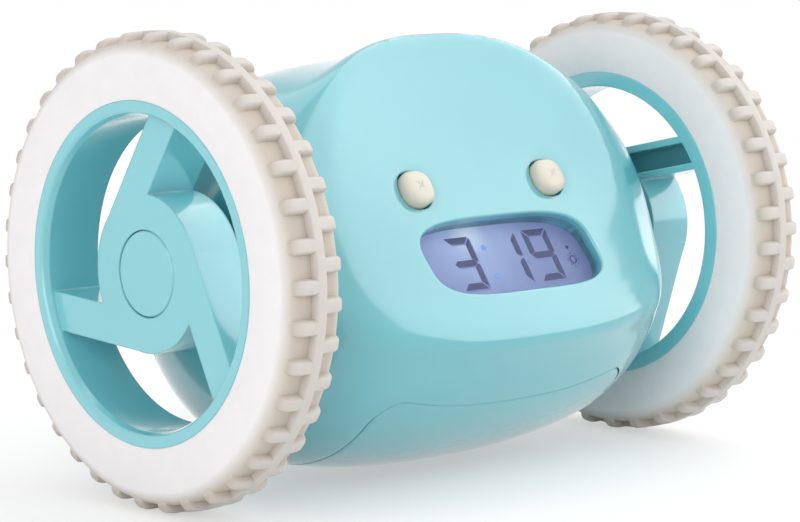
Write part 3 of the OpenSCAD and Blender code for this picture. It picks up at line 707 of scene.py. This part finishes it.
def sun(cx, cy, r0, r1, rays=8):
    """A ring of short arcs, with rays round it."""
    thick, start, half = 0.32, r0 + 0.62, 0.14
    out = []
    for k in range(12):
        a0, a1 = math.radians(30 * k), math.radians(30 * k + 30.5)
        out.append([(cx + q * math.cos(a), cy + q * math.sin(a)) for q, a in
                    ((r0, a0), (r0 + thick, a0), (r0 + thick, a1), (r0, a1))])
    for k in range(rays):
        a = 2 * math.pi * k / rays
        u, v = (math.cos(a), math.sin(a)), (-math.sin(a), math.cos(a))
        out.append([(cx + q * u[0] + e * v[0], cy + q * u[1] + e * v[1])
                    for q, e in ((start, -half), (r1, -half), (r1, half), (start, half))])
    return out


def counted_round(poly):
    """The same figure with its points counterclockwise."""
    area = sum(p[0] * q[1] - q[0] * p[1] for p, q in zip(poly, poly[1:] + poly[:1]))
    return poly if area > 0 else poly[::-1]


figures = digit("3", -8.6, DIGIT_ROW) + digit("1", 3.25, DIGIT_ROW) + digit("9", 11.85, DIGIT_ROW)
figures += sun(19.0, -12.0, 0.62, 1.5) + [disc(18.8, -9.3, 0.4)]
figures = [counted_round(poly) for poly in figures]
# painted shadow of the figures: a copy shifted to the lower right, set just under them on the display
painted_shadow_figures = [[(s + PAINTED_SHADOW_SHIFT[0], t + PAINTED_SHADOW_SHIFT[1]) for s, t in poly] for poly in figures]
dots = [disc(-2.6, -7.4, 0.62), disc(-2.4, -13.4, 0.62)]
digits = plate(figures, LCD_W + 0.01, LCD_W + 0.07, "lcd_digits")
colon = plate(dots, LCD_W + 0.01, LCD_W + 0.07, "lcd_colon")
# plate of the figures' painted shadow, just under the figures
shade = plate(painted_shadow_figures, LCD_W + 0.005, LCD_W + 0.04, "lcd_digit_painted_shadow")
for piece in (digits, colon, shade):
    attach(piece, "case")


# ---------------------------------------------------------------- materials
def srgb(c):
    """Linear colour of one written as it shows."""
    return tuple(v / 12.92 if v <= 0.04045 else ((v + 0.055) / 1.055) ** 2.4 for v in c) + (1.0,)


class Mat:
    """A node material with a Principled shader and a few helpers."""

    def __init__(self, name, **sockets):
        self.mat = bpy.data.materials.new(name)
        self.mat.use_nodes = True
        self.tree = self.mat.node_tree
        self.shader = self.tree.nodes["Principled BSDF"]
        self.coords = self.tree.nodes.new("ShaderNodeTexCoord").outputs["Object"]
        for key, value in sockets.items():
            self.shader.inputs[key.replace("_", " ")].default_value = value

    def add(self, kind, **values):
        node = self.tree.nodes.new(kind)
        for key, value in values.items():
            if hasattr(node, key):
                setattr(node, key, value)
            else:
                node.inputs[key.replace("_", " ")].default_value = value
        return node

    def link(self, a, b):
        self.tree.links.new(a, b)

    def noise(self, scale, detail=4.0, rough=0.5, stretch=None):
        n = self.add("ShaderNodeTexNoise", Scale=scale, Detail=detail, Roughness=rough)
        source = self.coords
        if stretch:
            m = self.add("ShaderNodeMapping", Scale=stretch)
            self.link(source, m.inputs["Vector"])
            source = m.outputs["Vector"]
        self.link(source, n.inputs["Vector"])
        return n.outputs["Fac"]

    def ramp(self, source, stops):
        r = self.tree.nodes.new("ShaderNodeValToRGB")
        while len(r.color_ramp.elements) < len(stops):
            r.color_ramp.elements.new(0.5)
        for e, (pos, colour) in zip(r.color_ramp.elements, stops):
            e.position = pos
            e.color = colour if len(colour) == 4 else tuple(colour) + (1.0,)
        self.link(source, r.inputs["Fac"])
        return r.outputs["Color"]

    def range(self, source, lo, hi, to_lo, to_hi):
        m = self.add("ShaderNodeMapRange")
        for key, value in (("From Min", lo), ("From Max", hi), ("To Min", to_lo), ("To Max", to_hi)):
            m.inputs[key].default_value = value
        self.link(source, m.inputs["Value"])
        return m.outputs["Result"]

    def mix(self, fac, a, b, kind="MIX"):
        m = self.tree.nodes.new("ShaderNodeMix")
        m.data_type = "RGBA"
        m.blend_type = kind
        for key, value in ((0, fac), (6, a), (7, b)):
            if isinstance(value, bpy.types.NodeSocket):
                self.link(value, m.inputs[key])
            else:
                m.inputs[key].default_value = value
        return m.outputs[2]

    def math(self, how, a, b=0.0):
        m = self.add("ShaderNodeMath")
        m.operation = how
        for key, value in ((0, a), (1, b)):
            if isinstance(value, bpy.types.NodeSocket):
                self.link(value, m.inputs[key])
            else:
                m.inputs[key].default_value = value
        return m.outputs[0]

    def bump(self, height, distance, strength):
        b = self.add("ShaderNodeBump", Strength=strength, Distance=distance)
        self.link(height, b.inputs["Height"])
        self.link(b.outputs["Normal"], self.shader.inputs["Normal"])
        return b

    def set(self, socket, source):
        self.link(source, self.shader.inputs[socket])


def gloss(name, colour, spread, rough, coat, edge=0.0):
    """Moulded glossy plastic: faint cloudiness, a light orange peel, uneven gloss, edges rounded by edge."""
    m = Mat(name, Coat_Weight=coat, Coat_Roughness=0.12, Coat_IOR=1.7, IOR=1.5)
    lo = srgb([max(0, c - spread) for c in colour])
    hi = srgb([min(1, c + spread) for c in colour])
    m.set("Base Color", m.ramp(m.noise(45, 3), [(0.3, lo), (0.7, hi)]))
    m.set("Roughness", m.range(m.noise(160, 5), 0.3, 0.7, rough - 0.03, rough + 0.05))
    waves = m.math("ADD", m.noise(420, 2), m.math("MULTIPLY", m.noise(2600, 3), 0.35))
    peel = m.bump(waves, 0.000012, 0.5)
    if edge:
        soft = m.add("ShaderNodeBevel", Radius=edge)
        m.link(soft.outputs["Normal"], peel.inputs["Normal"])
        m.link(soft.outputs["Normal"], m.shader.inputs["Coat Normal"])
    return m.mat


def matte(name, colour, spread, rough, grain=900, depth=0.00003, metal=0.0, stretch=None):
    """Plain moulded, painted or plated parts: grain, uneven tone and roughness."""
    m = Mat(name, Metallic=metal)
    lo = srgb([max(0, c - spread) for c in colour])
    hi = srgb([min(1, c + spread) for c in colour])
    m.set("Base Color", m.ramp(m.noise(120, 5, 0.6), [(0.32, lo), (0.68, hi)]))
    fine = m.noise(grain, 5, 0.6, stretch)
    m.set("Roughness", m.range(fine, 0.3, 0.7, rough - 0.08, rough + 0.08))
    m.bump(fine, depth, 0.6)
    return m.mat


def tyre_material():
    """Cream rubber, whiter on the flat side and beige on the blocks, with painted shade in tan on the floor
    between the blocks.
    """
    m = Mat("tyre_rubber", IOR=1.45)
    split = m.add("ShaderNodeSeparateXYZ")
    m.link(m.coords, split.inputs[0])
    z = m.math("SUBTRACT", split.outputs["Z"], AXLE_Z * MM)
    y = split.outputs["Y"]
    radius = m.math("SQRT", m.math("ADD", m.math("MULTIPLY", y, y), m.math("MULTIPLY", z, z)))
    bands = m.range(radius, 0.031, 0.0434, 0, 1)
    # painted shade: by radius the colour turns darker from the shoulder inward and tan on the groove floor
    # between the blocks
    tone = m.ramp(bands, [(0.0, srgb((0.92, 0.91, 0.915))), (0.66, srgb((0.92, 0.91, 0.915))),
                          (0.78, srgb((0.82, 0.80, 0.775))), (0.86, srgb((0.75, 0.71, 0.665))),
                          (0.97, srgb((0.785, 0.765, 0.745)))])
    mottle = m.ramp(m.noise(260, 6, 0.65), [(0.3, (0.965, 0.96, 0.95)), (0.7, (1.0, 1.0, 1.0))])
    m.set("Base Color", m.mix(1.0, tone, mottle, "MULTIPLY"))
    fine = m.noise(2400, 6, 0.7)
    m.set("Roughness", m.range(fine, 0.3, 0.7, 0.46, 0.62))
    m.bump(m.math("ADD", fine, m.math("MULTIPLY", m.noise(380, 3), 0.8)), 0.00004, 0.6)
    return m.mat


def lcd_material():
    """Liquid crystal with painted glow in place of the light the clear pane keeps from it: a painted
    highlight near the upper edge, left of the middle, painted shade darker away from it, and a fine haze.
    """
    m = Mat("lcd_painted_glow", Roughness=0.35)
    centre = to_row([face_point(-5.5, -4.4, LCD_W)])[0]
    far = m.add("ShaderNodeVectorMath")
    far.operation = "DISTANCE"
    m.link(m.coords, far.inputs[0])
    far.inputs[1].default_value = tuple(centre)
    # painted highlight round the spot near the upper edge, left of the middle, and painted shade darker with
    # distance from it
    near = m.ramp(m.range(far.outputs["Value"], 0.0, 0.034, 0, 1),
                  [(0.0, srgb((0.90, 0.97, 1.0))), (0.14, srgb((0.68, 0.76, 0.92))),
                   (0.42, srgb((0.55, 0.62, 0.80))), (1.0, srgb((0.42, 0.47, 0.64)))])
    haze = m.ramp(m.noise(900, 4), [(0.3, (0.95, 0.95, 0.97)), (0.7, (1, 1, 1))])
    tone = m.mix(1.0, near, haze, "MULTIPLY")
    m.set("Base Color", m.mix(0.75, tone, srgb((0.1, 0.1, 0.16))))
    # painted glow: emission stands in for the light that the clear pane keeps from the display
    m.set("Emission Color", tone)
    m.shader.inputs["Emission Strength"].default_value = 0.55
    return m.mat


# Figure coloured with painted glow: emission stands in for the light that the clear pane keeps from it.
def painted_glow_figure(name, colour, glow):
    m = Mat(name, Roughness=0.4)
    tone = m.ramp(m.noise(700, 3), [(0.3, srgb([c * 0.95 for c in colour])), (0.7, srgb(colour))])
    m.set("Base Color", tone)
    m.set("Emission Color", tone)
    m.shader.inputs["Emission Strength"].default_value = glow
    return m.mat


def window_material():
    """Clear moulded plastic seen through, with its own gloss."""
    m = Mat("clear_window", Roughness=0.05, IOR=1.49)
    tree = m.tree
    tint = m.ramp(m.noise(300, 3), [(0.3, (0.93, 0.95, 0.98)), (0.7, (0.97, 0.98, 1.0))])
    clear = tree.nodes.new("ShaderNodeBsdfTransparent")
    m.link(tint, clear.inputs["Color"])
    body = m.ramp(m.noise(300, 3), [(0.3, srgb((0.5, 0.55, 0.7))), (0.7, srgb((0.55, 0.6, 0.75)))])
    m.set("Base Color", body)
    m.bump(m.noise(500, 2), 0.00001, 0.4)
    facing = m.add("ShaderNodeLayerWeight", Blend=0.5)
    steep = m.math("POWER", facing.outputs["Facing"], 5.0)
    blend = tree.nodes.new("ShaderNodeMixShader")
    m.link(m.math("ADD", m.math("MULTIPLY", steep, 0.9), 0.04), blend.inputs["Fac"])
    m.link(clear.outputs[0], blend.inputs[1])
    m.link(m.shader.outputs[0], blend.inputs[2])
    out = tree.nodes["Material Output"]
    m.link(blend.outputs[0], out.inputs["Surface"])
    return m.mat


AQUA = (0.355, 0.675, 0.71)
finishes = {
    "shell": gloss("shell_aqua", AQUA, 0.008, 0.2, 1.0),
    "hub": gloss("hub_aqua", (0.46, 0.77, 0.805), 0.008, 0.2, 1.0, edge=0.0005),
    "tyre": tyre_material(),
    "buttons": gloss("button_ivory", (0.80, 0.785, 0.725), 0.012, 0.36, 0.1),
    "window": window_material(),
    "display": lcd_material(),
    "inner_plastic": matte("inner_nylon", (0.86, 0.85, 0.81), 0.02, 0.5),
    "gears": matte("gear_nylon", (0.93, 0.92, 0.88), 0.015, 0.42),
    "board": matte("board_green", (0.13, 0.37, 0.23), 0.03, 0.38, 300),
    "black_plastic": matte("black_moulding", (0.07, 0.07, 0.08), 0.02, 0.45),
    "battery": matte("battery_jacket", (0.17, 0.21, 0.27), 0.02, 0.3, 200, 0.00001, 0.4),
    "motor_can": matte("motor_plating", (0.74, 0.75, 0.77), 0.03, 0.28, 700, 0.00001, 1.0),
    "shaft_steel": matte("ground_steel", (0.76, 0.77, 0.79), 0.03, 0.25, 1500, 0.00001, 1.0, (1, 30, 30)),
    "contacts": matte("nickel_plate", (0.80, 0.80, 0.77), 0.03, 0.3, 900, 0.00001, 1.0),
    "speaker_metal": matte("speaker_plate", (0.56, 0.57, 0.59), 0.03, 0.35, 900, 0.00001, 1.0),
    "screws": matte("screw_zinc", (0.72, 0.73, 0.75), 0.03, 0.3, 1200, 0.00001, 1.0),
}


def dress(obj, mat):
    obj.data.materials.clear()
    obj.data.materials.append(mat)


slot_of = {part["node"]: part["material_slot"] for part in frame["record"]["subparts"]}
for name, obj in nodes.items():
    for k in range(max(1, len(obj.material_slots))):
        if obj.material_slots:
            obj.material_slots[k].material = finishes[slot_of[name]]
        else:
            obj.data.materials.append(finishes[slot_of[name]])
for obj in skins.values():
    dress(obj, finishes["shell"])
dress(pane, finishes["window"])
for _, name in SIDES:
    dress(caps[name], finishes["buttons"])
    dress(tyres[name], finishes["tyre"])
# the digits, the colon and the digits' painted shadow all carry painted glow
dress(digits, painted_glow_figure("lcd_dark", (0.16, 0.17, 0.34), 0.2))
dress(colon, painted_glow_figure("lcd_pale", (0.42, 0.52, 0.78), 0.5))
dress(shade, painted_glow_figure("lcd_painted_shadow", (0.40, 0.45, 0.66), 0.4))


# ---------------------------------------------------------------- room, lamps and camera
CAMERA_AT = (-0.3725, -0.3988, 0.1102)
CAMERA_LOOK = (0.6744, 0.7273, -0.1274)
WORLD_LIGHT = 0.64
FOCAL_PX = 2833.0
PHOTO_W_PX = 800


def seen_rays(tree):
    """One for rays from the camera, in gloss and through clear parts, and nothing for the rest."""
    path = tree.nodes.new("ShaderNodeLightPath")
    seen = path.outputs["Is Camera Ray"]
    for kind in ("Is Glossy Ray", "Is Transmission Ray"):
        more = tree.nodes.new("ShaderNodeMath")
        more.operation = "MAXIMUM"
        tree.links.new(seen, more.inputs[0])
        tree.links.new(path.outputs[kind], more.inputs[1])
        seen = more.outputs[0]
    return seen


def floor_plane():
    """White floor that keeps the shadow near the clock."""
    size = 6.0
    floor = new_object("floor", [(-size, -size, 0), (size, -size, 0), (size, size, 0), (-size, size, 0)],
                       [(0, 1, 2, 3)], row=False)
    m = Mat("floor_white", Roughness=0.6)
    m.set("Base Color", m.ramp(m.noise(6, 3), [(0.3, (0.90, 0.90, 0.90)), (0.7, (0.92, 0.92, 0.92))]))
    tree = m.tree
    far = m.add("ShaderNodeVectorMath")
    far.operation = "LENGTH"
    m.link(m.coords, far.inputs[0])
    fade = m.range(far.outputs["Value"], 0.04, 0.20, 0.45, 1)
    white = tree.nodes.new("ShaderNodeEmission")
    white.inputs["Color"].default_value = (1, 1, 1, 1)
    white.inputs["Strength"].default_value = 1.0
    blend = tree.nodes.new("ShaderNodeMixShader")
    m.link(m.math("MULTIPLY", fade, seen_rays(tree)), blend.inputs["Fac"])
    m.link(m.shader.outputs[0], blend.inputs[1])
    m.link(white.outputs[0], blend.inputs[2])
    m.link(blend.outputs[0], tree.nodes["Material Output"].inputs["Surface"])
    dress(floor, m.mat)


def room():
    """Even pale light, seen as white."""
    world = bpy.data.worlds.new("studio")
    bpy.context.scene.world = world
    world.use_nodes = True
    tree = world.node_tree
    back = tree.nodes["Background"]
    pick = tree.nodes.new("ShaderNodeMix")
    pick.data_type = "RGBA"
    pick.inputs[6].default_value = (WORLD_LIGHT,) * 3 + (1,)
    pick.inputs[7].default_value = (1, 1, 1, 1)
    tree.links.new(seen_rays(tree), pick.inputs[0])
    tree.links.new(pick.outputs[2], back.inputs["Color"])


def lamp(name, at, aim, size, power, tall=None):
    data = bpy.data.lights.new(name, "AREA")
    data.energy = power
    data.size = size
    if tall:
        data.shape = "RECTANGLE"
        data.size_y = tall
    obj = bpy.data.objects.new(name, data)
    obj.location = at
    obj.rotation_euler = (Vector(aim) - Vector(at)).to_track_quat("-Z", "Y").to_euler()
    bpy.context.scene.collection.objects.link(obj)


def camera():
    """Camera fitted to the photograph's wheels."""
    data = bpy.data.cameras.new("camera")
    data.sensor_width = 36.0
    data.lens = FOCAL_PX / PHOTO_W_PX * data.sensor_width
    data.clip_start = 0.01
    data.clip_end = 50
    obj = bpy.data.objects.new("camera", data)
    look = Vector(CAMERA_LOOK).normalized()
    right = look.cross(Vector((0, 0, 1))).normalized()
    up = right.cross(look)
    turn = Matrix((right, up, -look)).transposed().to_4x4()
    obj.matrix_world = Matrix.Translation(CAMERA_AT) @ turn
    bpy.context.scene.collection.objects.link(obj)
    bpy.context.scene.camera = obj


floor_plane()
room()
lamp("face_panel", (0.67, -0.38, 0.69), (0, 0, 0.045), 1.6, 10.8, 1.6)
lamp("left_panel", (-0.95, -0.45, 0.45), (0, 0, 0.045), 0.7, 4.4, 1.0)
lamp("top", (-0.1, 0.3, 1.1), (0, 0, 0.04), 0.8, 1.5)
camera()
scene = bpy.context.scene
scene.view_settings.view_transform = "Standard"
